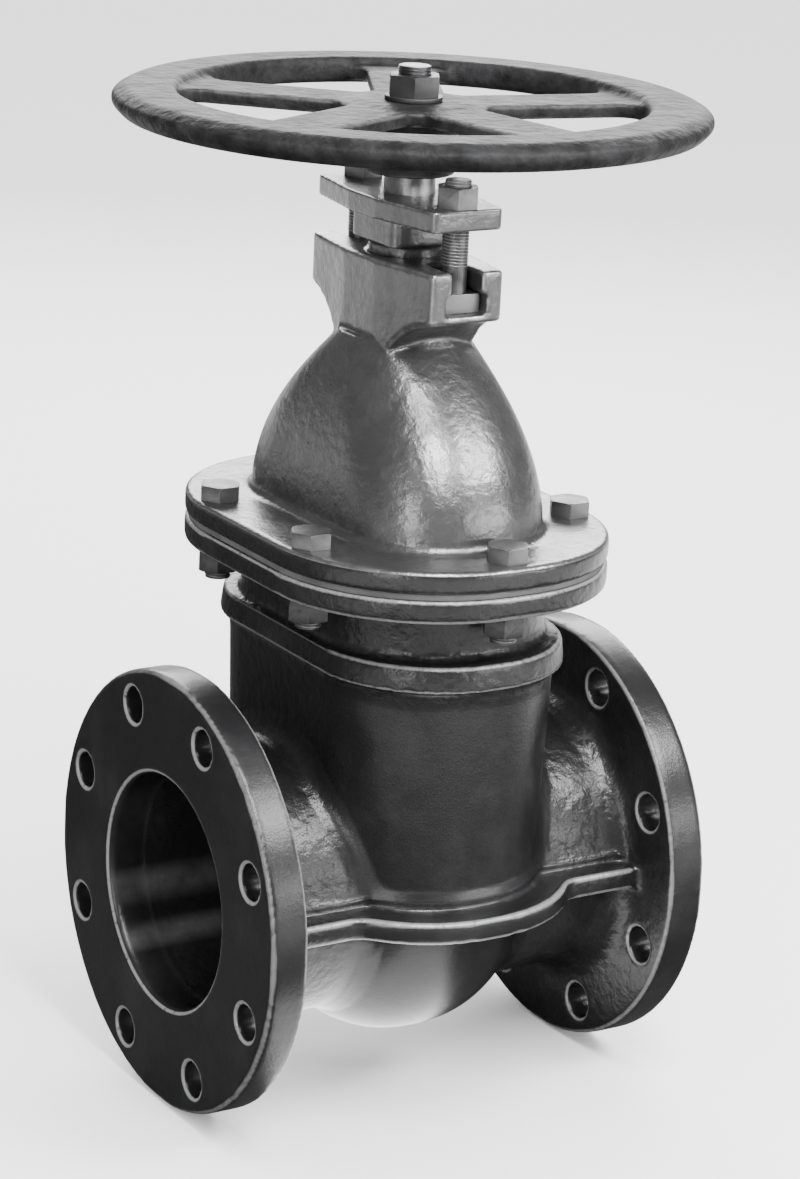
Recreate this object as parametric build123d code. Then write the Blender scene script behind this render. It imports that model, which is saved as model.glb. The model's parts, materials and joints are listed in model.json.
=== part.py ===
from build123d import *
from math import cos, pi, radians, sin, tan
import os

# A flanged cast-iron sluice valve with an oval chest, a domed bonnet and a handwheel.
# Millimetres. The flow runs along +X and the spindle stands along +Z.
# The origin is the centre of the inlet flange's face.

# Flow ends
face_to_face = 320.0
flange_diameter = 285.0
flange_thickness = 26.0
flange_edge_round = 2.0
bolt_circle = 240.0
bolt_hole = 23.0
outlet_bolt_hole = 23.4
bolt_count = 8
nominal_bore = 150.0
bore_chamfer = 3.0
neck_wall = 15.0
neck_flare = 13.0

# Chest, an oval that is longer across the flow than along it
chest_wall = 13.0
chest_top_half = (78.0, 125.0)
chest_waist_half = (75.0, 119.0)
bowl_half = (74.0, 113.0)
collar_half = (84.0, 132.0)
collar_bottom = 153.0
collar_top = 170.0
throat_half = (76.0, 114.0)
oval_corner_share = 0.94
rib_height = 15.0
rib_half = (96.0, 143.0)
rib_half_at_neck = 108.0
rib_corner = 14.0

# Body flange, gasket and bonnet flange
joint_half = (112.5, 150.0)
joint_corner = 104.0
joint_edge_round = 3.0
body_flange_thickness = 15.5
body_flange_top = 219.0
gasket_thickness = 4.0
gasket_inset = 2.0
bonnet_flange_thickness = 14.0

# Bonnet dome
dome_half = (68.0, 113.0)
dome_lip = 4.0
dome_lip_height = 5.0
dome_lip_sink = 2.0
dome_top_radius = 41.5
dome_height = 112.0
dome_fullness = 1.055
dome_wall = 12.0
dome_sections = 8

# Stuffing box, a long block, narrower towards its ends, with a T-slot in each end
box_half = (25.5, 73.0)
box_waist_half = (34.0, 18.0)
box_top = 403.0
box_end_height = 32.0
box_haunch_half = 31.0
box_haunch_share = (0.29, 0.46)
box_root = 4.0
box_corner_round = 3.0
box_throat_radius = 41.0
box_throat_top = 353.0
slot_width = 21.0
slot_depth = 30.0
slot_floor = 5.0
tee_width = 29.0
tee_height = 13.0
packing_radius = 24.0
packing_depth = 34.0
packing_height = 24.0

# Gland
gland_half_x = 25.0
gland_inset = 3.0
gland_waist_half = (34.0, 16.0)
gland_corner = 5.0
gland_top = 440.5
gland_thickness = 13.0
gland_boss_half = 26.0
gland_boss_bottom = 410.0
gland_bush_clearance = 0.2

# Gland bolts and their nuts
gland_bolt_inset = 17.0
gland_bolt_diameter = 16.0
gland_bolt_hole = 18.0
gland_bolt_stand = 4.0
tee_clearance = 1.0

# Bonnet bolts
bonnet_bolt_diameter = 16.0
bonnet_bolt_hole = 18.0
bonnet_bolt_corner = (95.0, 58.0)
bonnet_bolt_end = 132.0
bonnet_bolt_stand = 5.0
hex_flats = 24.0
hex_head_height = 10.0
hex_nut_height = 13.0
hex_chamfer = 1.2
thread_clearance = 0.05

# Spindle
spindle_diameter = 32.0
spindle_clearance = 0.05
spindle_bottom = 78.0
thrust_collar_radius = 21.0
thrust_collar_height = 12.0
thrust_collar_gap = 1.0
square_width = 24.0
square_clearance = 0.05
square_short = 1.0
stud_diameter = 20.0

# Handwheel
wheel_radius = 186.0
wheel_top = 501.0
rim_height = 17.0
rim_width = 40.0
rim_top_bevel = 9.0
rim_bottom_bevel = 7.0
rim_round = 3.0
rim_outer_drop = 5.0
web_thickness = 9.0
web_drop = 5.0
window_count = 5
spoke_width = 45.0
spoke_first_angle = -154.0
window_inner_radius = 47.0
window_outer_round = 14.0
window_inner_round = 4.0
hub_radius = 28.0
hub_bottom = 452.0
hub_top = 497.0
hub_face_radius = 36.0
hub_face_rise = 1.0
washer_radius = 18.0
washer_thickness = 3.0
wheel_nut_flats = 30.0
wheel_nut_height = 13.0
wheel_stud_top = 518.5

# Wedge gate, its nut and the seat rings
gate_angle = 5.0
gate_half_thickness = 24.0
gate_shoulder_rise = 8.0
gate_dish_inset = 18.0
gate_dish_depth = 5.0
gate_neck_half_y = 34.0
gate_neck_top = 132.0
gate_nut_half = 19.0
gate_nut_height = 26.0
gate_nut_bottom = 97.0
gate_nut_fit = 0.3
gate_well_clearance = 3.0
gate_well_bottom = 68.0
seat_width = 13.0
seat_root = 46.0
seat_boss_width = 10.0
seat_boss_face = 37.0

# Reach of cuts past the faces they open, and of a tool body past the piece it trims
cut = 1.0
trim = 60.0

# Levels and places that follow from the sizes above
flange_face_x = face_to_face / 2
flange_back_x = flange_face_x - flange_thickness
flange_radius = flange_diameter / 2
bore_radius = nominal_bore / 2
neck_radius = bore_radius + neck_wall
body_flange_bottom = body_flange_top - body_flange_thickness
bonnet_seat = body_flange_top + gasket_thickness
bonnet_flange_top = bonnet_seat + bonnet_flange_thickness
dome_top = bonnet_flange_top + dome_height
spindle_radius = spindle_diameter / 2
seat_outer_radius = bore_radius + seat_width
gate_radius = seat_outer_radius
box_end_bottom = box_top - box_end_height
gland_bolt_y = box_half[1] - gland_bolt_inset
gland_bottom = gland_top - gland_thickness
packing_bottom = box_top - packing_depth
packing_top = packing_bottom + packing_height
wheel_bottom = wheel_top - rim_height
web_top = wheel_top - web_drop
web_bottom = web_top - web_thickness
washer_top = hub_top + washer_thickness
rim_inner_radius = wheel_radius - rim_width
gate_slope = tan(radians(gate_angle))
bonnet_bolt_places = [(x, y) for x in (bonnet_bolt_corner[0], -bonnet_bolt_corner[0])
                      for y in (bonnet_bolt_corner[1], -bonnet_bolt_corner[1])]
bonnet_bolt_places += [(0.0, bonnet_bolt_end), (0.0, -bonnet_bolt_end)]
centre = Pos(face_to_face / 2, 0, 0)


def oval(half_x, half_y, height):
    corner = oval_corner_share * min(half_x, half_y)
    return Pos(0, 0, height) * RectangleRounded(2 * half_x, 2 * half_y, corner)


def oval_band(low_half, high_half, low, high):
    return loft([oval(*low_half, low), oval(*high_half, high)])


def shrink(half, by):
    return (half[0] - by, half[1] - by)


def bowl(half):
    plan = oval(*half, 0) & Pos(0, -half[1], 0) * Rectangle(4 * half[0], 2 * half[1])
    return revolve(plan, Axis.X, 180)


def joint_plate(low, high, inset=0.0):
    outline = RectangleRounded(2 * (joint_half[0] - inset), 2 * (joint_half[1] - inset), joint_corner - inset)
    return extrude(Pos(0, 0, low) * outline, high - low)


def cylinder_x(radius, start, end):
    return Pos((start + end) / 2, 0, 0) * Rot(0, 90, 0) * Cylinder(radius, abs(end - start))


def cylinder_z(radius, low, high, x=0.0, y=0.0):
    return Pos(x, y, (low + high) / 2) * Cylinder(radius, high - low)


def tapered_outline(end_half, waist_half, height):
    # Long outline with a straight waist, narrowing in straight lines to each end
    end_x, end_y = end_half
    waist_x, waist_y = waist_half
    right = [(end_x, -end_y), (waist_x, -waist_y), (waist_x, waist_y), (end_x, end_y)]
    left = [(-x, y) for x, y in reversed(right)]
    return Pos(0, 0, height) * Polygon(*right, *left, align=None)


def hexagon(flats, low, high, chamfered_top=True):
    # A 30 degree cone takes the corners off one end
    prism = extrude(Pos(0, 0, low) * RegularPolygon(flats / 2, 6, major_radius=False), high - low)
    corner = flats / 2 / cos(pi / 6)
    height = high - low
    tip = Cone(corner - hex_chamfer + height / tan(pi / 6), corner - hex_chamfer, height)
    if chamfered_top:
        return prism & Pos(0, 0, low + height / 2) * tip
    return prism & Pos(0, 0, low + height / 2) * Rot(180, 0, 0) * tip


def flow_end(hole):
    # Outline from the flange face inwards, turned about the flow axis
    flare_root = flange_back_x - neck_flare
    with BuildSketch(Plane.XY) as profile:
        with BuildLine():
            Polyline((0, 0), (flange_face_x, 0), (flange_face_x, flange_radius),
                     (flange_back_x, flange_radius), (flange_back_x, neck_radius + neck_flare))
            RadiusArc((flange_back_x, neck_radius + neck_flare), (flare_root, neck_radius), neck_flare)
            Polyline((flare_root, neck_radius), (0, neck_radius), (0, 0))
        make_face()
    end = revolve(profile.sketch, Axis.X)
    circles = end.edges().filter_by(GeomType.CIRCLE)
    end = fillet([edge for edge in circles if abs(edge.radius - flange_radius) < 0.01], flange_edge_round)
    holes = [
        Rot(360 * (number + 0.5) / bolt_count, 0, 0)
        * Pos(0, bolt_circle / 2, 0)
        * cylinder_x(hole / 2, flange_back_x - cut, flange_face_x + cut)
        for number in range(bolt_count)
    ]
    return end - holes


def rib():
    # Flat shelf along both necks and round the chest, with a round in each inner corner
    plan = oval(*rib_half, 0) + Rectangle(2 * (flange_back_x + cut), 2 * rib_half_at_neck)
    inner = [
        vertex
        for vertex in plan.vertices()
        if abs(abs(vertex.Y) - rib_half_at_neck) < 0.01 and abs(vertex.X) < flange_back_x
    ]
    plan = fillet(inner, rib_corner)
    return extrude(Pos(0, 0, -rib_height / 2) * plan, rib_height)


def flow_bore():
    bore = cylinder_x(bore_radius, -flange_face_x, flange_face_x)
    for side in (-1, 1):
        mouth = Cone(bore_radius, bore_radius + bore_chamfer, bore_chamfer)
        bore += Pos(side * (flange_face_x - bore_chamfer / 2), 0, 0) * Rot(0, 90 * side, 0) * mouth
    return bore


def make_body():
    shell = oval_band(chest_waist_half, chest_top_half, 0, collar_bottom) + bowl(bowl_half)
    shell += oval_band(collar_half, shrink(collar_half, 2), collar_bottom, collar_top)
    shell += oval_band(throat_half, throat_half, collar_top, body_flange_bottom)
    top_flange = joint_plate(body_flange_bottom, body_flange_top)
    shell += fillet(top_flange.edges().group_by(Axis.Z)[0], joint_edge_round)
    shell += flow_end(outlet_bolt_hole) + mirror(flow_end(bolt_hole), Plane.YZ) + rib()

    inner_bowl = shrink(bowl_half, chest_wall)
    inner_throat = shrink(throat_half, chest_wall)
    cavity = oval_band(inner_bowl, inner_throat, 0, body_flange_top) + bowl(inner_bowl)
    for side in (-1, 1):
        cavity -= cylinder_x(seat_outer_radius + seat_boss_width, side * seat_boss_face, side * flange_back_x)
        cavity += cylinder_x(seat_outer_radius, 0, side * seat_root)

    body = shell - cavity - flow_bore()
    for x, y in bonnet_bolt_places:
        body -= cylinder_z(bonnet_bolt_hole / 2, body_flange_bottom - cut, body_flange_top + cut, x, y)
    return body


def make_gasket():
    inner = extrude(oval(*shrink(throat_half, chest_wall), body_flange_top), gasket_thickness)
    gasket = joint_plate(body_flange_top, bonnet_seat, gasket_inset) - inner
    for x, y in bonnet_bolt_places:
        gasket -= cylinder_z(bonnet_bolt_hole / 2, body_flange_top - cut, bonnet_seat + cut, x, y)
    return gasket


def dome(wall):
    # Sections shrink from the oval base to the round neck along a blunt ogive
    top_radius = dome_top_radius - wall
    sections = []
    for number in range(dome_sections):
        rise = number / (dome_sections - 1)
        spread = (1 - rise * rise) ** dome_fullness
        half_x = top_radius + (dome_half[0] - wall - top_radius) * spread
        half_y = top_radius + (dome_half[1] - wall - top_radius) * spread
        sections.append(oval(half_x, half_y, bonnet_flange_top + rise * (dome_height - wall)))
    return loft(sections)


def stuffing_block():
    # Side outline: straight ends, with the underside sloping down to the dome
    end_y = box_half[1]
    base = dome_top - box_root
    across, down = box_haunch_share
    bend_y = box_haunch_half + across * (end_y - box_haunch_half)
    bend_z = box_end_bottom - down * (box_end_bottom - base)
    with BuildSketch(Plane.YZ) as side:
        with BuildLine():
            Polyline((-end_y, box_end_bottom), (-end_y, box_top), (end_y, box_top), (end_y, box_end_bottom))
            ThreePointArc((end_y, box_end_bottom), (bend_y, bend_z), (box_haunch_half, base))
            Line((box_haunch_half, base), (-box_haunch_half, base))
            ThreePointArc((-box_haunch_half, base), (-bend_y, bend_z), (-end_y, box_end_bottom))
        make_face()
    plan = tapered_outline(box_half, box_waist_half, base)
    plan = fillet(plan.vertices(), box_corner_round)
    return extrude(side.sketch, box_waist_half[0], both=True) & extrude(plan, box_top - base)


def tee_slot(sign):
    start = box_half[1] - slot_depth
    length = slot_depth + 2 * cut
    middle = sign * (start + length / 2)
    floor = box_end_bottom + slot_floor
    height = box_top + cut - floor
    slot = Pos(0, middle, floor + height / 2) * Box(slot_width, length, height)
    tee = Pos(0, middle, floor + tee_height / 2) * Box(tee_width, length, tee_height)
    return slot + tee


def make_bonnet():
    bonnet = joint_plate(bonnet_seat, bonnet_flange_top)
    bonnet = fillet(bonnet.edges().group_by(Axis.Z)[-1], joint_edge_round)
    lip_foot = shrink(dome_half, -dome_lip)
    lip_head = shrink(dome_half, dome_lip_sink)
    bonnet += oval_band(lip_foot, lip_head, bonnet_flange_top, bonnet_flange_top + dome_lip_height)
    bonnet += dome(0)
    bonnet += cylinder_z(box_throat_radius, dome_top - dome_wall, box_throat_top)
    bonnet += stuffing_block()
    bonnet -= extrude(oval(*shrink(dome_half, dome_wall), bonnet_seat), bonnet_flange_thickness)
    bonnet -= dome(dome_wall)
    bonnet -= cylinder_z(spindle_radius + spindle_clearance, bonnet_flange_top, box_top)
    bonnet -= cylinder_z(packing_radius, packing_bottom, box_top + cut)
    for sign in (-1, 1):
        bonnet -= tee_slot(sign)
    for x, y in bonnet_bolt_places:
        bonnet -= cylinder_z(bonnet_bolt_hole / 2, bonnet_seat - cut, bonnet_flange_top + cut, x, y)
    return bonnet


def make_packing():
    ring = cylinder_z(packing_radius, packing_bottom, packing_top)
    return ring - cylinder_z(spindle_radius + spindle_clearance, packing_bottom, packing_top)


def make_gland():
    plan = tapered_outline((gland_half_x, box_half[1] - gland_inset), gland_waist_half, gland_bottom)
    gland = extrude(fillet(plan.vertices(), gland_corner), gland_thickness)
    boss = RectangleRounded(2 * gland_boss_half, 2 * gland_boss_half, gland_corner)
    gland += extrude(Pos(0, 0, gland_boss_bottom) * boss, gland_bottom - gland_boss_bottom)
    gland += cylinder_z(packing_radius - gland_bush_clearance, packing_top, gland_bottom)
    gland -= cylinder_z(spindle_radius + spindle_clearance, packing_top, gland_top + cut)
    for sign in (-1, 1):
        gland -= cylinder_z(gland_bolt_hole / 2, gland_bottom - cut, gland_top + cut, 0, sign * gland_bolt_y)
    return gland


def make_gland_bolt(sign):
    seat = box_end_bottom + slot_floor
    head_width = tee_width - 2 * tee_clearance
    head_depth = slot_width - 2 * tee_clearance
    head_height = tee_height - tee_clearance
    head = Pos(0, 0, seat + head_height / 2) * Box(head_width, head_depth, head_height)
    shank = cylinder_z(gland_bolt_diameter / 2, seat, gland_top + hex_nut_height + gland_bolt_stand)
    return Pos(0, sign * gland_bolt_y, 0) * (head + shank)


def make_gland_nut(sign):
    nut = hexagon(hex_flats, gland_top, gland_top + hex_nut_height)
    nut -= cylinder_z(gland_bolt_diameter / 2 + thread_clearance, gland_top, gland_top + hex_nut_height)
    return Pos(0, sign * gland_bolt_y, 0) * nut


def make_bonnet_bolt(x, y):
    shank_bottom = body_flange_bottom - hex_nut_height - bonnet_bolt_stand
    head = hexagon(hex_flats, bonnet_flange_top, bonnet_flange_top + hex_head_height)
    shank = cylinder_z(bonnet_bolt_diameter / 2, shank_bottom, bonnet_flange_top)
    return Pos(x, y, 0) * (head + shank)


def make_bonnet_nut(x, y):
    low = body_flange_bottom - hex_nut_height
    nut = hexagon(hex_flats, low, body_flange_bottom, chamfered_top=False)
    nut -= cylinder_z(bonnet_bolt_diameter / 2 + thread_clearance, low, body_flange_bottom)
    return Pos(x, y, 0) * nut


def make_spindle():
    # Screw in the gate nut, thrust collar under the dome, then a square and a stud for the handwheel
    collar_top_z = dome_top - dome_wall - thrust_collar_gap
    square_top = hub_top - square_short
    spindle = cylinder_z(spindle_radius, spindle_bottom, hub_bottom)
    spindle += cylinder_z(thrust_collar_radius, collar_top_z - thrust_collar_height, collar_top_z)
    square = Box(square_width, square_width, square_top - hub_bottom)
    square = Pos(0, 0, (hub_bottom + square_top) / 2) * square
    spindle += square & cylinder_z(spindle_radius, hub_bottom, square_top)
    spindle += cylinder_z(stud_diameter / 2, square_top, wheel_stud_top)
    return spindle


def wheel_window(number):
    # One opening between two spokes: a sector with parallel spoke sides and round corners
    step = 360 / window_count
    first = spoke_first_angle + step * number
    ring = Circle(rim_inner_radius - cut) - Circle(window_inner_radius)
    far = 3 * wheel_radius
    sides = [(far * cos(radians(angle)), far * sin(radians(angle))) for angle in (first, first + step)]
    opening = ring & Polygon((0, 0), *sides, align=None)
    for angle in (first, first + step):
        opening -= Rot(0, 0, angle) * Pos(wheel_radius / 2, 0) * Rectangle(wheel_radius * 2, spoke_width)
    halfway = (window_inner_radius + rim_inner_radius) / 2
    inner = [vertex for vertex in opening.vertices() if vertex.center().length < halfway]
    opening = fillet(inner, window_inner_round)
    outer = [vertex for vertex in opening.vertices() if vertex.center().length > halfway]
    outer = sorted(outer, key=lambda vertex: vertex.center().length)[-2:]
    return fillet(outer, window_outer_round)


def make_handwheel():
    # Rim outline turned about the spindle, a dropped web with five windows, and the hub
    with BuildSketch(Plane.XZ) as profile:
        with BuildLine():
            Polyline((rim_inner_radius, wheel_bottom), (wheel_radius - rim_bottom_bevel, wheel_bottom),
                     (wheel_radius, wheel_bottom + rim_bottom_bevel),
                     (wheel_radius, wheel_top - rim_outer_drop), (wheel_radius - rim_top_bevel, wheel_top),
                     (rim_inner_radius, wheel_top), (rim_inner_radius, wheel_bottom))
        make_face()
        fillet(profile.vertices(), rim_round)
    wheel = revolve(profile.sketch, Axis.Z) + cylinder_z(rim_inner_radius + cut, web_bottom, web_top)
    for number in range(window_count):
        wheel -= extrude(Pos(0, 0, web_bottom - cut) * wheel_window(number), web_thickness + 2 * cut)
    wheel += cylinder_z(hub_radius, hub_bottom, hub_top)
    wheel += cylinder_z(hub_face_radius, web_bottom, web_top + hub_face_rise)
    square = square_width + 2 * square_clearance
    wheel -= Pos(0, 0, (hub_bottom + hub_top) / 2) * Box(square, square, hub_top - hub_bottom + 2 * cut)
    return wheel


def make_washer():
    washer = cylinder_z(washer_radius, hub_top, washer_top)
    return washer - cylinder_z(stud_diameter / 2 + thread_clearance, hub_top, washer_top)


def make_wheel_nut():
    nut = hexagon(wheel_nut_flats, washer_top, washer_top + wheel_nut_height)
    return nut - cylinder_z(stud_diameter / 2 + thread_clearance, washer_top, washer_top + wheel_nut_height)


def gate_wedge():
    # Trapezoid across the flow, thicker at the top
    low = -gate_radius - cut
    high = gate_neck_top + cut
    half_low = gate_half_thickness + low * gate_slope
    half_high = gate_half_thickness + high * gate_slope
    section = Polygon((-half_low, low), (half_low, low), (half_high, high), (-half_high, high), align=None)
    return extrude(Plane.XZ * section, gate_radius + cut, both=True)


def make_gate():
    shoulder_top = gate_radius + gate_shoulder_rise
    outline = cylinder_x(gate_radius, -trim, trim)
    outline += Pos(0, 0, shoulder_top / 2) * Box(2 * trim, 2 * gate_radius, shoulder_top)
    outline += Pos(0, 0, gate_neck_top / 2) * Box(2 * trim, 2 * gate_neck_half_y, gate_neck_top)
    gate = gate_wedge() & outline
    dish = gate_half_thickness - gate_dish_depth
    for side in (-1, 1):
        gate -= cylinder_x(gate_radius - gate_dish_inset, side * dish, side * trim)
    gate -= cylinder_z(spindle_radius + gate_well_clearance, gate_well_bottom, gate_neck_top + cut)
    pocket = gate_nut_half + gate_nut_fit
    gate -= Pos(0, 0, gate_nut_bottom + gate_nut_height / 2) * Box(
        2 * trim, 2 * pocket, gate_nut_height + 2 * gate_nut_fit)
    return gate


def make_gate_nut():
    low = gate_nut_bottom - gate_nut_fit
    nut = Pos(0, 0, low + gate_nut_height / 2) * Box(2 * gate_nut_half, 2 * gate_nut_half, gate_nut_height)
    return nut - cylinder_z(spindle_radius + spindle_clearance, low, low + gate_nut_height)


def make_seat_ring(side):
    ring = cylinder_x(seat_outer_radius, 0, side * seat_root) - cylinder_x(bore_radius, 0, side * seat_root)
    return ring - gate_wedge()


parts = {
    "body": make_body(),
    "bonnet_gasket": make_gasket(),
    "bonnet": make_bonnet(),
    "gland_packing": make_packing(),
    "gland": make_gland(),
    "gate": make_gate(),
    "gate_nut": make_gate_nut(),
    "seat_ring_inlet": make_seat_ring(-1),
    "seat_ring_outlet": make_seat_ring(1),
    "spindle": make_spindle(),
    "handwheel": make_handwheel(),
    "handwheel_washer": make_washer(),
    "handwheel_nut": make_wheel_nut(),
}
for name, sign in (("front", -1), ("rear", 1)):
    parts[f"gland_bolt_{name}"] = make_gland_bolt(sign)
    parts[f"gland_nut_{name}"] = make_gland_nut(sign)
for number, (x, y) in enumerate(bonnet_bolt_places, start=1):
    parts[f"bonnet_bolt_{number}"] = make_bonnet_bolt(x, y)
    parts[f"bonnet_nut_{number}"] = make_bonnet_nut(x, y)

os.makedirs("parts", exist_ok=True)
for name, solid in parts.items():
    export_step(centre * solid, f"parts/{name}.step")
    print(name, round(solid.volume / 1000, 1), "cm3")
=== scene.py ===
import bpy
import bmesh
import json
import math
import numpy as np
from mathutils import Matrix, Vector


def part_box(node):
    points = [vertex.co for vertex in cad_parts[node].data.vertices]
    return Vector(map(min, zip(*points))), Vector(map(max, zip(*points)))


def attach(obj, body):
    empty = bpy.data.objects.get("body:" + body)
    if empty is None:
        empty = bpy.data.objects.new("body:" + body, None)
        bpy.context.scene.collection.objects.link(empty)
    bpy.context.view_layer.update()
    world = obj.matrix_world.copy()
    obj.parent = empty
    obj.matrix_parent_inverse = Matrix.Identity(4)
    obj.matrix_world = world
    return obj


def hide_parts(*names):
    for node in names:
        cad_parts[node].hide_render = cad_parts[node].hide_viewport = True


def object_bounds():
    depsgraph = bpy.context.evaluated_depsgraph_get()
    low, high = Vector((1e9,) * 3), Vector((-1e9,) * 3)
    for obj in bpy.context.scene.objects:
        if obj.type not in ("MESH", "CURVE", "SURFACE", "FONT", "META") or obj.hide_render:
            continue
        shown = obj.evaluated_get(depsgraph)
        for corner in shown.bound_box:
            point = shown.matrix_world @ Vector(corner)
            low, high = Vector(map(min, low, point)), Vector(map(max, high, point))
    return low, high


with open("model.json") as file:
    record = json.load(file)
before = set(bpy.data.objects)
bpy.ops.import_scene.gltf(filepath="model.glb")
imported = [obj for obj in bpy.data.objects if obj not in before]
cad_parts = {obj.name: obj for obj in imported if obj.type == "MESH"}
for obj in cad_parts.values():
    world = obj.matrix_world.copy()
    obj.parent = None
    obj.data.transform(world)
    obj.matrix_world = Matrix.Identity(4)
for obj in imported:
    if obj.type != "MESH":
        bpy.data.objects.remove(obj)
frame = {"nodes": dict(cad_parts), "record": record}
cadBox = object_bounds()
nodes = frame["nodes"]
print("sluice valve: frame loaded,", len(nodes), "nodes")


# Shader maths as plain expressions

class Wire:
    def __init__(self, tree, socket):
        self.tree = tree
        self.socket = socket

    def maths(self, operation, *values):
        node = self.tree.nodes.new("ShaderNodeMath")
        node.operation = operation
        for slot, value in zip(node.inputs, values):
            if isinstance(value, Wire):
                self.tree.links.new(value.socket, slot)
            else:
                slot.default_value = value
        return Wire(self.tree, node.outputs[0])

    def __add__(self, other):
        return self.maths("ADD", self, other)

    def __radd__(self, other):
        return self.maths("ADD", other, self)

    def __sub__(self, other):
        return self.maths("SUBTRACT", self, other)

    def __rsub__(self, other):
        return self.maths("SUBTRACT", other, self)

    def __mul__(self, other):
        return self.maths("MULTIPLY", self, other)

    def __rmul__(self, other):
        return self.maths("MULTIPLY", other, self)

    def __truediv__(self, other):
        return self.maths("DIVIDE", self, other)

    def size(self):
        return self.maths("ABSOLUTE", self)

    def root(self):
        return self.maths("SQRT", self)

    def clip(self):
        return self.maths("MINIMUM", self.maths("MAXIMUM", self, 0.0), 1.0)

    def most(self, other):
        return self.maths("MAXIMUM", self, other)

    def turn(self, other):
        return self.maths("ARCTAN2", self, other)

    def wrap(self, step):
        return self.maths("FLOORED_MODULO", self, step)

    def cosine(self):
        return self.maths("COSINE", self)

    def sine(self):
        return self.maths("SINE", self)

    def rise(self, low, high):
        # 0 below low and 1 above high, or the other way round where low is the larger
        return ((self - low) / (high - low)).clip()


class Finish:
    def __init__(self, name):
        self.material = bpy.data.materials.new(name)
        self.material.use_nodes = True
        self.tree = self.material.node_tree
        self.tree.nodes.clear()
        self.shader = self.add("ShaderNodeBsdfPrincipled")
        self.add("ShaderNodeOutputMaterial", values={"Surface": self.shader.outputs[0]})
        self.place = self.add("ShaderNodeTexCoord").outputs["Object"]
        apart = self.add("ShaderNodeSeparateXYZ", values={"Vector": self.place})
        self.x, self.y, self.z = [Wire(self.tree, socket) for socket in apart.outputs]

    def add(self, kind, settings=None, values=None):
        node = self.tree.nodes.new(kind)
        for key, value in (settings or {}).items():
            if key == "stops":
                ramp = node.color_ramp
                while len(ramp.elements) < len(value):
                    ramp.elements.new(0.5)
                for element, (position, level) in zip(ramp.elements, value):
                    element.position = position
                    element.color = (level, level, level, 1)
            else:
                setattr(node, key, value)
        for key, value in (values or {}).items():
            slot = node.inputs[key]
            if isinstance(value, Wire):
                self.tree.links.new(value.socket, slot)
            elif isinstance(value, bpy.types.NodeSocket):
                self.tree.links.new(value, slot)
            else:
                slot.default_value = value
        return node

    def noise(self, grain, detail=4.0, roughness=0.55, seed=0.0):
        # grain is the size of a blotch in metres
        place = self.place
        if seed:
            values = {"Vector": place, "Location": (seed, seed, seed)}
            place = self.add("ShaderNodeMapping", values=values).outputs[0]
        values = {"Vector": place, "Scale": 1 / grain, "Detail": detail, "Roughness": roughness}
        return Wire(self.tree, self.add("ShaderNodeTexNoise", values=values).outputs[0])

    def ramp(self, source, stops):
        return Wire(self.tree, self.add("ShaderNodeValToRGB", {"stops": stops}, {"Fac": source}).outputs[0])

    def blend(self, amount, low, high):
        node = self.add("ShaderNodeMix", {"data_type": "RGBA"}, {"Factor": amount})
        for slot, value in ((node.inputs[6], low), (node.inputs[7], high)):
            if isinstance(value, Wire):
                self.tree.links.new(value.socket, slot)
            else:
                slot.default_value = (*value, 1)
        return Wire(self.tree, node.outputs[2])

    def bump(self, height, distance, under=None):
        values = {"Height": height, "Distance": distance, "Strength": 1.0}
        if under is not None:
            values["Normal"] = under
        return Wire(self.tree, self.add("ShaderNodeBump", values=values).outputs[0])

    def mark(self, name):
        # A value that the mesh carries, such as how far an edge stands out
        return Wire(self.tree, self.add("ShaderNodeAttribute", {"attribute_name": name}).outputs["Fac"])

    def corners(self, start, full):
        point = Wire(self.tree, self.add("ShaderNodeNewGeometry").outputs["Pointiness"])
        return self.ramp(point, [(start, 0.0), (full, 1.0)])

    def set(self, **values):
        for key, value in values.items():
            slot = self.shader.inputs[key.replace("_", " ")]
            if isinstance(value, Wire):
                self.tree.links.new(value.socket, slot)
            else:
                slot.default_value = (*value, 1) if isinstance(value, tuple) else value
        return self.material


# Black paint of the body: smooth on the chest, lumpy on the necks, worn at edges and bolt holes, with
# painted highlights round the holes, in the fillets and in the bore

flowFlange = {"length": 0.320, "thick": 0.026, "boltCircle": 0.240, "holes": 8, "hole": 0.0115}

blackPaint = {
    "colour": (0.0035, 0.0035, 0.0037),
    # tone of dust, and of the painted highlight in the hollows of the fillets
    "dustAndHighlightTone": (0.014, 0.014, 0.0145),
    # tone of worn edges, and of the painted highlight on the rings round holes and bore
    "worn": (0.12, 0.12, 0.12),
    "roughness": 0.26,
    "shine": 0.24,
    # tone and heights of the painted highlight bands along the bore
    "boreHighlightTone": (0.030, 0.030, 0.031),
    "boreHighlightBands": ((-0.024, 0.013), (-0.052, 0.008)),  # middle height and half width
    "boreEdge": (0.0765, 0.0755),
    "ringWidth": 0.0019,
    "ringGap": 0.0002,
    "boreMouth": 0.0770,
    "ringDepth": 0.0016,
    "fleckSize": 0.0055,
    "cloudSize": 0.06,
    "lumpSize": 0.0075,
    "lumpHeight": 0.0011,
    "grainSize": 0.0016,
    "grainHeight": 0.00012,
    "lumpyFrom": (0.070, 0.084),  # along the flow, from the chest's middle
    "lumpyTo": (0.0225, 0.028),  # along the flow, from the flange's face
    "lumpyCollar": (0.140, 0.152),
    "smoothShare": 0.12,  # of the lumps' height, on smooth parts
}


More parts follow.
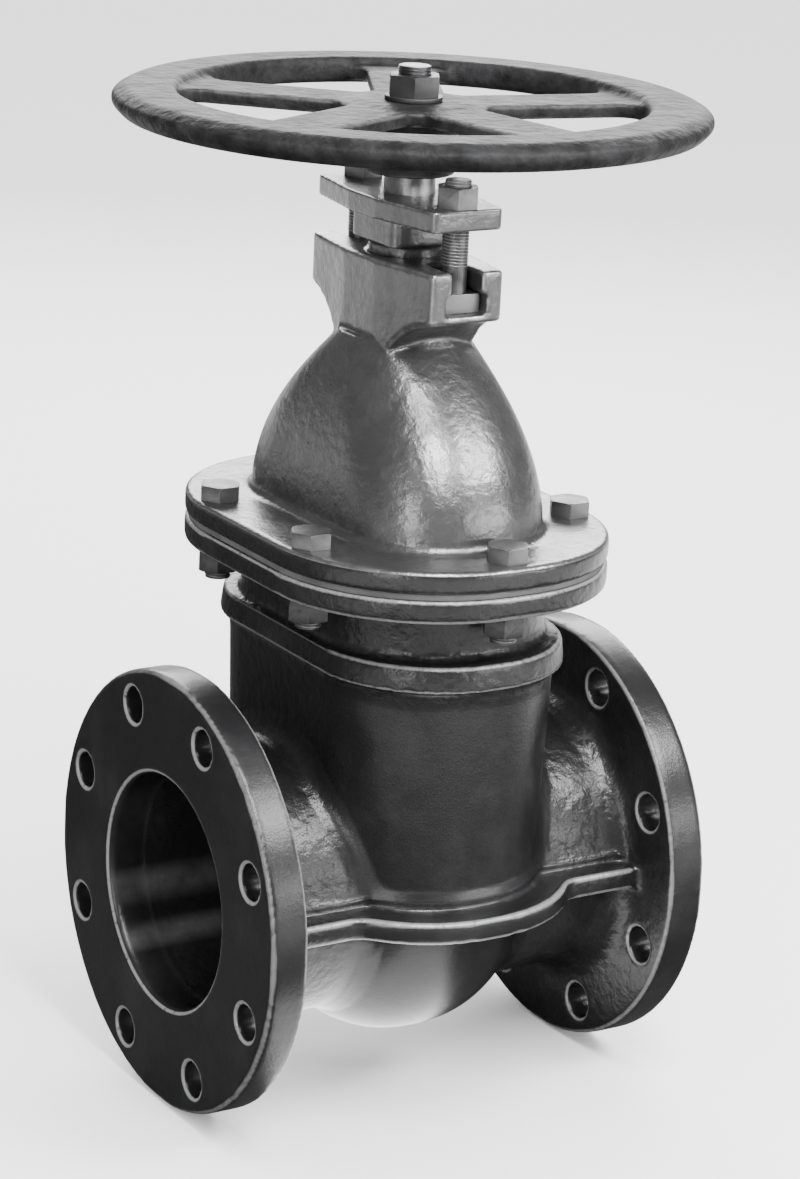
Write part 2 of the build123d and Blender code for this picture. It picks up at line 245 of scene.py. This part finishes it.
def holeRingsWornAndLit(paint, want):
    # Lighter rings round the mouths of the flanges' holes, on both faces: partly scuffed paint, partly a
    # painted highlight on their rounded edges
    away = (paint.y * paint.y + paint.z * paint.z).root()
    step = 2 * math.pi / flowFlange["holes"]
    around = paint.z.turn(paint.y).wrap(step) - step / 2
    across = away * around.cosine() - flowFlange["boltCircle"] / 2
    beside = away * around.sine()
    offset = (across * across + beside * beside).root() - (flowFlange["hole"] + want["ringGap"])
    width, depth = want["ringWidth"], want["ringDepth"]
    ring = offset.size().rise(width * 1.35, width * 0.75)
    ring = ring.most((away - want["boreMouth"]).size().rise(width * 1.1, width * 0.6))
    middle = flowFlange["length"] / 2
    fromFace = middle - (paint.x - middle).size()
    nearFace = fromFace.rise(depth, depth * 0.6)
    nearBack = (fromFace - flowFlange["thick"]).size().rise(depth * 0.8, depth * 0.5)
    return ring * nearFace.most(nearBack)


def makeBlackPaint(name, casting):
    # The casting has wear, dust and a painted highlight in its hollows that its mesh carries, and painted
    # highlight rings at its holes; a painted nut only has worn corners
    want = blackPaint
    paint = Finish(name)
    middle = flowFlange["length"] / 2
    fleck = paint.noise(want["fleckSize"], 6.0, 0.7)
    cloud = paint.noise(want["cloudSize"], 6.0, 0.62)
    lumps = paint.noise(want["lumpSize"], 4.0, 0.5, seed=3.1)
    grain = paint.noise(want["grainSize"], 3.0, 0.6)
    if casting:
        besideChest = (paint.x - middle).size().rise(*want["lumpyFrom"])
        low, high = want["lumpyTo"]
        faces = (paint.x - middle).size().rise(middle - low, middle - high)
        collar = paint.z.rise(*want["lumpyCollar"])
        rough = besideChest.most(collar) * faces
        edge = paint.mark("wear").rise(0.55, 0.95)
        hollow = paint.mark("hollow").rise(0.08, 0.7)
        ringWearAndHighlight = holeRingsWornAndLit(paint, want) * fleck.rise(0.30, 0.46)
        wearAndRingHighlight = (edge * fleck.rise(0.28, 0.46)).most(ringWearAndHighlight)
        # Dust in cloudy patches, and a lighter painted highlight in the hollows of the fillets
        dustAndFilletHighlight = (cloud.rise(0.50, 0.80) * 0.45).most(hollow * fleck.rise(0.4, 0.7) * 0.8)
        lumps = lumps * (want["smoothShare"] + (1 - want["smoothShare"]) * rough)
    else:
        wearAndRingHighlight = paint.corners(0.53, 0.60) * fleck.rise(0.36, 0.55) * 0.3
        dustAndFilletHighlight = cloud.rise(0.45, 0.8) * 0.6
        lumps = lumps * 0.2
    colour = paint.blend(dustAndFilletHighlight, want["colour"], want["dustAndHighlightTone"])
    if casting:
        # Painted highlight: two lighter bands along each side of the bore
        inside = (paint.y * paint.y + paint.z * paint.z).root().rise(*want["boreEdge"])
        for level, half in want["boreHighlightBands"]:
            boreHighlight = (paint.z - level).size().rise(half, half * 0.25) * inside * cloud.rise(0.25, 0.6)
            colour = paint.blend(boreHighlight, colour, want["boreHighlightTone"])
    # Wear at edges, and the rings' painted highlight round holes and bore
    colour = paint.blend(wearAndRingHighlight, colour, want["worn"])
    skin = paint.bump(lumps, want["lumpHeight"])
    skin = paint.bump(grain, want["grainHeight"], under=skin)
    roughness = want["roughness"] + 0.20 * cloud * cloud + 0.12 * wearAndRingHighlight
    return paint.set(Base_Color=colour, Roughness=roughness, Metallic=wearAndRingHighlight * 0.5, Normal=skin,
                     Specular_IOR_Level=want["shine"])


# Iron of the bonnet and gland: grey, with hammered lumps; the flange's rim and underside are coloured black
# as painted shade

bonnetIron = {
    "colour": (0.068, 0.068, 0.069),
    "dark": (0.030, 0.030, 0.031),
    "worn": (0.17, 0.17, 0.17),
    "roughness": 0.25,
    "metallic": 0.88,
    "lumpSize": 0.0060,
    "lumpHeight": 0.00055,
    "grainHeight": 0.00014,
    "stain": (0.46, 0.70, 0.55),  # start and full of the dark mottle, and its strength
    # heights of the band on the flange's rim that is painted black as shade
    "shadedRim": (0.2205, 0.2345),
    "shine": 0.3,
}

wheelIron = {
    "colour": (0.0080, 0.0080, 0.0084),
    "dark": (0.0018, 0.0018, 0.0018),
    "worn": (0.030, 0.030, 0.030),
    "roughness": 0.50,
    "metallic": 0.0,
    "shine": 0.06,
    "lumpSize": 0.0080,
    "lumpHeight": 0.0017,
    "grainHeight": 0.00030,
    "stain": (0.40, 0.62, 0.85),
}

castIronGrain = {"fleck": 0.007, "mottle": 0.022, "grain": 0.0017}


def makeCastIron(name, want):
    iron = Finish(name)
    fleck = iron.noise(castIronGrain["fleck"], 6.0, 0.7)
    mottle = iron.noise(castIronGrain["mottle"], 6.0, 0.65, seed=1.7)
    lumps = iron.noise(want["lumpSize"], 3.0, 0.45)
    grain = iron.noise(castIronGrain["grain"], 3.0, 0.6)
    low, high, strength = want["stain"]
    edge = iron.mark("wear").rise(0.5, 0.95) * fleck.rise(0.30, 0.55)
    stain = mottle.rise(low, high) * strength
    colour = iron.blend(stain, want["colour"], want["dark"])
    colour = iron.blend(edge, colour, want["worn"])
    metallic = want["metallic"] * (1 - 0.25 * stain)
    if "shadedRim" in want:
        # Painted shade: the flange's rim and underside are coloured as black as the body's paint, up to the
        # rounded top edge
        low, high = want["shadedRim"]
        rimShade = iron.z.rise(high + 0.0008, high) * iron.z.rise(low - 0.002, low)
        colour = iron.blend(rimShade, colour, blackPaint["colour"])
        metallic = metallic * (1 - rimShade)
    skin = iron.bump(lumps, want["lumpHeight"])
    skin = iron.bump(grain, want["grainHeight"], under=skin)
    roughness = want["roughness"] + 0.22 * mottle * mottle
    return iron.set(Base_Color=colour, Roughness=roughness, Metallic=metallic, Normal=skin,
                    Specular_IOR_Level=want["shine"])


# Turned and bright metal, gasket and packing

boltSteel = {
    "colour": (0.055, 0.055, 0.056),
    "dark": (0.016, 0.016, 0.016),
    "worn": (0.18, 0.18, 0.18),
    "roughness": 0.34,
}
wheelNutSteel = {
    "colour": (0.026, 0.026, 0.027),
    "dark": (0.008, 0.008, 0.008),
    "worn": (0.07, 0.07, 0.07),
    "roughness": 0.42,
}
turnedSteel = {
    "colour": (0.16, 0.16, 0.165),
    "dark": (0.05, 0.05, 0.05),
    "worn": (0.3, 0.3, 0.3),
    "roughness": 0.28,
    "tip": 0.500,
}
bronze = {
    "colour": (0.30, 0.21, 0.10),
    "dark": (0.11, 0.08, 0.04),
    "worn": (0.35, 0.26, 0.14),
    "roughness": 0.34,
}
toolMarks = {"smear": 0.010, "turned": 0.0011, "depth": 0.00008}


def makeSteel(name, want):
    steel = Finish(name)
    smear = steel.noise(toolMarks["smear"], 5.0, 0.6)
    turned = steel.noise(toolMarks["turned"], 2.0)
    edge = steel.corners(0.515, 0.57) * 0.6
    colour = steel.blend(smear.rise(0.42, 0.68) * 0.8, want["colour"], want["dark"])
    colour = steel.blend(edge, colour, want["worn"])
    if "tip" in want:
        # The end inside and above the handwheel's nut is as dark as the nut
        end = steel.z.rise(want["tip"] - 0.002, want["tip"])
        colour = steel.blend(end, colour, wheelNutSteel["colour"])
    skin = steel.bump(turned, toolMarks["depth"])
    roughness = want["roughness"] + 0.22 * smear
    return steel.set(Base_Color=colour, Roughness=roughness, Metallic=0.9, Normal=skin)


mattGrain = {"cloud": 0.022, "fibre": 0.002, "depth": 0.0002, "darkest": 0.6}


def makeMatt(name, colour, roughness):
    matt = Finish(name)
    cloud = matt.noise(mattGrain["cloud"], 5.0)
    dark = tuple(mattGrain["darkest"] * level for level in colour)
    tone = matt.blend(cloud.rise(0.4, 0.7), colour, dark)
    skin = matt.bump(matt.noise(mattGrain["fibre"], 3.0), mattGrain["depth"])
    return matt.set(Base_Color=tone, Roughness=roughness + 0.1 * cloud, Normal=skin)


finishes = {
    "black_paint": makeBlackPaint("blackPaint", casting=True),
    "cast_iron": makeCastIron("bonnetIron", bonnetIron),
    "wheel_iron": makeCastIron("wheelIron", wheelIron),
    "steel": makeSteel("turnedSteel", turnedSteel),
    "fastener": makeSteel("boltSteel", boltSteel),
    "bronze": makeSteel("bronze", bronze),
    "gasket": makeMatt("gasketSheet", (0.025, 0.025, 0.025), 0.8),
    "packing": makeMatt("plaitedPacking", (0.09, 0.08, 0.07), 0.85),
}
nutPaint = makeBlackPaint("nutPaint", casting=False)
wheelNut = makeSteel("wheelNutSteel", wheelNutSteel)
ownFinish = {"handwheel_nut": wheelNut, "handwheel_washer": wheelNut}
ownFinish.update({f"bonnet_nut_{number}": nutPaint for number in range(1, 7)})
print("finishes made")


# Pieces made from the frame's own shapes

slotOf = {part["node"]: part["material_slot"] for part in frame["record"]["subparts"]}
bodies = frame["record"]["behaviour"]["bodies"]
bodyOf = {node: body for body, members in bodies.items() for node in members}
weldDistance = 0.00001


def mergedCopy(node):
    mesh = nodes[node].data.copy()
    work = bmesh.new()
    work.from_mesh(mesh)
    bmesh.ops.remove_doubles(work, verts=work.verts, dist=weldDistance)
    work.to_mesh(mesh)
    work.free()
    piece = bpy.data.objects.new(node + "_finish", mesh)
    bpy.context.scene.collection.objects.link(piece)
    return piece


def applyModifiers(piece):
    depsgraph = bpy.context.evaluated_depsgraph_get()
    mesh = bpy.data.meshes.new_from_object(piece.evaluated_get(depsgraph))
    piece.modifiers.clear()
    piece.data = mesh


def dress(piece, node, material=None):
    slot = slotOf[node]
    piece.data.materials.clear()
    piece.data.materials.append(material or finishes[slot])
    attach(piece, bodyOf[node])
    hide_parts(node)


skinning = {
    "step": 0.8,  # of the way to the neighbours' middle, in each round
    "fullFill": 0.0008,
    "bulgeRounds": 6,
    "bulgeShare": 0.45,  # of a voxel, at a bulge that is fully worn
}


def relaxed(places, ends, rounds):
    # Each point moves towards the middle of its neighbours, round after round
    count = len(places)
    links = np.bincount(ends.ravel(), minlength=count)
    for _ in range(rounds):
        middles = np.empty_like(places)
        for axis in range(3):
            along = places[:, axis]
            total = np.bincount(ends[:, 0], along[ends[:, 1]], count)
            total += np.bincount(ends[:, 1], along[ends[:, 0]], count)
            middles[:, axis] = total / links
        places = places + skinning["step"] * (middles - places)
    return places


def meshPoints(mesh):
    places = np.empty(len(mesh.vertices) * 3)
    mesh.vertices.foreach_get("co", places)
    return places.reshape(-1, 3)


def meshNormals(mesh):
    normals = np.empty(len(mesh.vertices) * 3)
    mesh.vertex_normals.foreach_get("vector", normals)
    return normals.reshape(-1, 3)


def meshEdges(mesh):
    ends = np.empty(len(mesh.edges) * 2, dtype=np.int32)
    mesh.edges.foreach_get("vertices", ends)
    return ends.reshape(-1, 2)


def setPoints(mesh, places):
    mesh.vertices.foreach_set("co", places.ravel())
    mesh.update()


def between(values, low, high):
    return np.clip((values - low) / (high - low), 0, 1)


hollowZone = {
    "outward": (0.080, 0.086),
    "along": (0.137, 0.128),
    "underCollar": (0.152, 0.140),
    "overRib": (0.0075, 0.0100),
    "underRib": (-0.014, -0.030),
}


def bodyHollows(places):
    # Where the body's inner corners are filled: between necks, chest and bowl, clear of rib and faces
    along = np.abs(places[:, 0] - flowFlange["length"] / 2)
    outward = np.hypot(places[:, 1], places[:, 2])
    height = places[:, 2]
    zone = between(outward, *hollowZone["outward"]) * between(along, *hollowZone["along"])
    zone = zone * between(height, *hollowZone["underCollar"])
    clear = np.maximum(between(height, *hollowZone["overRib"]), between(height, *hollowZone["underRib"]))
    return zone * clear


castings = {
    "body": {"voxel": 0.0019, "softening": 3, "filling": 80, "where": bodyHollows, "keep": 0.40},
    "bonnet": {"voxel": 0.0015, "softening": 3, "filling": 0, "keep": 0.45},
    "handwheel": {"voxel": 0.0015, "softening": 4, "filling": 0, "keep": 0.45},
    "gland": {"voxel": 0.0009, "softening": 3, "filling": 0, "keep": 0.45},
}


def castSkin(node, want):
    # The frame's shape with the rounded edges and filled corners of a casting
    piece = mergedCopy(node)
    remesh = piece.modifiers.new("remesh", "REMESH")
    remesh.mode = "VOXEL"
    remesh.voxel_size = want["voxel"]
    applyModifiers(piece)
    mesh = piece.data
    ends = meshEdges(mesh)
    setPoints(mesh, relaxed(meshPoints(mesh), ends, want["softening"]))
    if want["filling"]:
        places = meshPoints(mesh)
        wide = relaxed(places, ends, want["filling"])
        fill = ((wide - places) * meshNormals(mesh)).sum(axis=1)
        share = between(fill, 0.0, skinning["fullFill"]) * want["where"](places)
        setPoints(mesh, places + share[:, None] * (wide - places))
    places = meshPoints(mesh)
    # How far each point stands out or lies back gives the paint its wear, and its dust and painted
    # highlight in the hollows
    calm = relaxed(places, ends, skinning["bulgeRounds"])
    bulge = ((places - calm) * meshNormals(mesh)).sum(axis=1) / (skinning["bulgeShare"] * want["voxel"])
    for name, level in (("wear", bulge), ("hollow", -bulge)):
        mesh.attributes.new(name, "FLOAT", "POINT").data.foreach_set("value", np.clip(level, 0, 1))
    fewer = piece.modifiers.new("fewer", "DECIMATE")
    fewer.ratio = want["keep"]
    applyModifiers(piece)
    piece.data.shade_smooth()
    print("cast skin", node, len(piece.data.polygons), "faces")
    return piece


machined = {"edge": 0.0004, "steps": 2, "angle": 24.0, "flat": 0.4}


def machinedCopy(node):
    # Turned and cut pieces keep crisp faces, with a small bevel that catches the light
    piece = mergedCopy(node)
    work = bmesh.new()
    work.from_mesh(piece.data)
    flat = math.radians(machined["flat"])
    bmesh.ops.dissolve_limit(work, angle_limit=flat, verts=work.verts, edges=work.edges)
    work.to_mesh(piece.data)
    work.free()
    piece.data.shade_smooth()
    bevel = piece.modifiers.new("edges", "BEVEL")
    bevel.width = machined["edge"]
    bevel.segments = machined["steps"]
    bevel.limit_method = "ANGLE"
    bevel.angle_limit = math.radians(machined["angle"])
    bevel.harden_normals = True
    applyModifiers(piece)
    return piece


# Screw threads on the free ends of bolts and spindle: one ridge wound round each, by Geometry Nodes

threads = {  # radius, lower end and upper end of each run
    "gland_bolt_front": [(0.0080, 0.4045, 0.4265), (0.0080, 0.4540, 0.4570)],
    "gland_bolt_rear": [(0.0080, 0.4045, 0.4265), (0.0080, 0.4540, 0.4570)],
    "spindle": [(0.0100, 0.5135, 0.5175)],
}
for number in range(1, 7):
    threads[f"bonnet_bolt_{number}"] = [(0.0080, 0.1865, 0.1900)]
threadShape = {"pitch": 0.0020, "ridge": 0.00075, "sunk": 0.35, "points": 28, "sides": 4}


def threadTree():
    tree = bpy.data.node_groups.new("screwThread", "GeometryNodeTree")
    sockets = {}
    kinds = {"Radius": "Float", "Length": "Float", "Pitch": "Float", "Ridge": "Float", "Points": "Int",
             "Finish": "Material"}
    for name, kind in kinds.items():
        kind = "NodeSocket" + kind
        sockets[name] = tree.interface.new_socket(name=name, in_out="INPUT", socket_type=kind)
    tree.interface.new_socket(name="Geometry", in_out="OUTPUT", socket_type="NodeSocketGeometry")
    given = tree.nodes.new("NodeGroupInput")
    turns = tree.nodes.new("ShaderNodeMath")
    turns.operation = "DIVIDE"
    spiral = tree.nodes.new("GeometryNodeCurveSpiral")
    upright = tree.nodes.new("GeometryNodeSetCurveNormal")
    upright.mode = "Z_UP"
    profile = tree.nodes.new("GeometryNodeCurvePrimitiveCircle")
    profile.inputs["Resolution"].default_value = threadShape["sides"]
    sweep = tree.nodes.new("GeometryNodeCurveToMesh")
    sweep.inputs["Fill Caps"].default_value = True
    real = tree.nodes.new("GeometryNodeRealizeInstances")
    paintIt = tree.nodes.new("GeometryNodeSetMaterial")
    result = tree.nodes.new("NodeGroupOutput")
    join = tree.links.new
    join(given.outputs["Length"], turns.inputs[0])
    join(given.outputs["Pitch"], turns.inputs[1])
    join(turns.outputs[0], spiral.inputs["Rotations"])
    join(given.outputs["Points"], spiral.inputs["Resolution"])
    join(given.outputs["Radius"], spiral.inputs["Start Radius"])
    join(given.outputs["Radius"], spiral.inputs["End Radius"])
    join(given.outputs["Length"], spiral.inputs["Height"])
    join(given.outputs["Ridge"], profile.inputs["Radius"])
    join(spiral.outputs["Curve"], upright.inputs["Curve"])
    join(upright.outputs["Curve"], sweep.inputs["Curve"])
    join(profile.outputs["Curve"], sweep.inputs["Profile Curve"])
    join(sweep.outputs["Mesh"], real.inputs["Geometry"])
    join(real.outputs["Geometry"], paintIt.inputs["Geometry"])
    join(given.outputs["Finish"], paintIt.inputs["Material"])
    join(paintIt.outputs["Geometry"], result.inputs["Geometry"])
    return tree, sockets


def woundThread(tree, sockets, radius, low, high, finish):
    holder = bpy.data.objects.new("thread", bpy.data.meshes.new("thread"))
    bpy.context.scene.collection.objects.link(holder)
    wind = holder.modifiers.new("wind", "NODES")
    wind.node_group = tree
    values = {
        "Radius": radius - threadShape["sunk"] * threadShape["ridge"],
        "Length": high - low,
        "Pitch": threadShape["pitch"],
        "Ridge": threadShape["ridge"],
        "Points": threadShape["points"],
        "Finish": finish,
    }
    for name, value in values.items():
        wind[sockets[name].identifier] = value
    applyModifiers(holder)
    mesh = holder.data
    bpy.data.objects.remove(holder)
    return mesh


def addThreads(piece, node, tree, sockets):
    low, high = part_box(node)
    axis = ((low[0] + high[0]) / 2, (low[1] + high[1]) / 2)
    if node == "spindle":
        axis = (flowFlange["length"] / 2, 0.0)
    work = bmesh.new()
    work.from_mesh(piece.data)
    for radius, start, end in threads[node]:
        ridge = woundThread(tree, sockets, radius, start, end, finishes[slotOf[node]])
        ridge.transform(Matrix.Translation((axis[0], axis[1], start)))
        work.from_mesh(ridge)
    work.to_mesh(piece.data)
    work.free()


tree, sockets = threadTree()
for node in nodes:
    if node in castings:
        dress(castSkin(node, castings[node]), node)
        continue
    piece = machinedCopy(node)
    if node in threads:
        addThreads(piece, node, tree, sockets)
    dress(piece, node, ownFinish.get(node))
print("pieces made")


# Floor, light and camera

floor = {"size": 60.0, "drop": 0.0005, "colour": (0.40, 0.40, 0.40), "roughness": 0.8, "shine": 0.2}
studio = {"backdrop": 9.0, "soft": 5.4, "sheen": 0.27}  # seen, on matt surfaces, and in reflections
aim = (0.16, 0.0, 0.15)

# Each lamp's direction from the aim is its azimuth and elevation in degrees
softboxes = {
    "keyStrip": {"toward": (-101, 56), "distance": 1.9, "size": (0.36, 1.25), "power": 135},
    "keyRight": {"toward": (-54, 42), "distance": 1.9, "size": (0.75, 0.50), "power": 85},
    "lowRight": {"toward": (-60, 9), "distance": 2.2, "size": (1.2, 0.22), "power": 34},
    "backRight": {"toward": (58, 28), "distance": 2.6, "size": (2.3, 1.2), "power": 140},
    "frontLeft": {"toward": (-141, 12), "distance": 2.6, "size": (0.30, 1.2), "power": 34},
}
underGlow = {"place": (0.125, -0.07, -0.138), "size": (0.15, 0.40), "power": 1.3}
flag = {
    "place": (-0.22, 0.36),
    "width": 1.3,
    "top": 0.20,
    "carpet": (0.10, 0.0),
    "reach": 0.75,
    "colour": (0.02, 0.02, 0.02),
}


def makeFloor():
    mesh = bpy.data.meshes.new("floor")
    half = floor["size"] / 2
    level = cadBox[0].z - floor["drop"]
    corners = [(-half, -half, level), (half, -half, level), (half, half, level), (-half, half, level)]
    mesh.from_pydata(corners, [], [(0, 1, 2, 3)])
    ground = bpy.data.objects.new("floor", mesh)
    bpy.context.scene.collection.objects.link(ground)
    plain = Finish("paleFloor").set(Base_Color=floor["colour"], Roughness=floor["roughness"],
                                    Specular_IOR_Level=floor["shine"])
    ground.data.materials.append(plain)


def makeFlag():
    # Dark cards beside the inlet and on the floor, which only reflections see, keep the paint black
    mesh = bpy.data.meshes.new("flag")
    outward = Vector((*flag["place"], 0)).normalized()
    beside = Vector((-outward.y, outward.x, 0)) * flag["width"] / 2
    foot = Vector((*flag["place"], cadBox[0].z))
    head = Vector((*flag["place"], flag["top"]))
    corners = [foot - beside, foot + beside, head + beside, head - beside]
    for across, along in ((-1, -1), (1, -1), (1, 1), (-1, 1)):
        x, y = flag["carpet"]
        corners.append((x + across * flag["reach"], y + along * flag["reach"], cadBox[0].z))
    mesh.from_pydata(corners, [], [(0, 1, 2, 3), (4, 5, 6, 7)])
    card = bpy.data.objects.new("flag", mesh)
    bpy.context.scene.collection.objects.link(card)
    card.data.materials.append(Finish("flagCloth").set(Base_Color=flag["colour"], Roughness=1.0))
    card.visible_camera = False
    card.visible_diffuse = False
    card.visible_shadow = False


def makeWorld():
    world = bpy.data.worlds.new("studio")
    bpy.context.scene.world = world
    world.use_nodes = True
    tree = world.node_tree
    tree.nodes.clear()
    output = tree.nodes.new("ShaderNodeOutputWorld")
    path = tree.nodes.new("ShaderNodeLightPath")
    result = None
    for ray, part in ((None, "sheen"), ("Is Diffuse Ray", "soft"), ("Is Camera Ray", "backdrop")):
        sky = tree.nodes.new("ShaderNodeBackground")
        sky.inputs["Color"].default_value = (1, 1, 1, 1)
        sky.inputs["Strength"].default_value = studio[part]
        if ray is None:
            result = sky.outputs[0]
            continue
        mix = tree.nodes.new("ShaderNodeMixShader")
        tree.links.new(path.outputs[ray], mix.inputs[0])
        tree.links.new(result, mix.inputs[1])
        tree.links.new(sky.outputs[0], mix.inputs[2])
        result = mix.outputs[0]
    tree.links.new(result, output.inputs["Surface"])


def addLamp(name, place, target, size, power):
    data = bpy.data.lights.new(name, "AREA")
    data.shape = "RECTANGLE"
    data.size, data.size_y = size
    data.energy = power
    lamp = bpy.data.objects.new(name, data)
    bpy.context.scene.collection.objects.link(lamp)
    lamp.location = place
    lamp.rotation_euler = (Vector(target) - Vector(place)).to_track_quat("-Z", "Y").to_euler()
    lamp.visible_camera = False


def makeLights():
    for name, want in softboxes.items():
        azimuth, elevation = [math.radians(angle) for angle in want["toward"]]
        aside = want["distance"] * math.cos(elevation)
        rise = want["distance"] * math.sin(elevation)
        offset = (aside * math.cos(azimuth), aside * math.sin(azimuth), rise)
        addLamp(name, Vector(aim) + Vector(offset), aim, want["size"], want["power"])
    x, y, z = underGlow["place"]
    addLamp("underGlow", (x, y, z), (x, y, z + 1), underGlow["size"], underGlow["power"])


makeFloor()
makeFlag()
makeWorld()
makeLights()

view = {
    "place": (-1.0027456, -1.863785, 0.8425184),
    "yaw": 0.5605039,
    "pitch": 0.2921617,
    "roll": 0.0473775,
    "focal": 3574.96,  # in picture rows
    "tall": 1179.0,
    "sensor": 36.0,
}


def makeCamera():
    yaw, pitch, roll = view["yaw"], view["pitch"], view["roll"]
    ahead = Vector((math.sin(yaw) * math.cos(pitch), math.cos(yaw) * math.cos(pitch), -math.sin(pitch)))
    level = Vector((math.cos(yaw), -math.sin(yaw), 0))
    upright = level.cross(ahead)
    right = math.cos(roll) * level + math.sin(roll) * upright
    up = -math.sin(roll) * level + math.cos(roll) * upright
    data = bpy.data.cameras.new("camera")
    camera = bpy.data.objects.new("camera", data)
    bpy.context.scene.collection.objects.link(camera)
    turn = Matrix((right, up, -ahead)).transposed().to_4x4()
    camera.matrix_world = Matrix.Translation(view["place"]) @ turn
    data.sensor_width = view["sensor"]
    data.lens = view["sensor"] * view["focal"] / view["tall"]
    data.clip_start, data.clip_end = 0.01, 50
    bpy.context.scene.camera = camera


makeCamera()
print("floor, light and camera made")
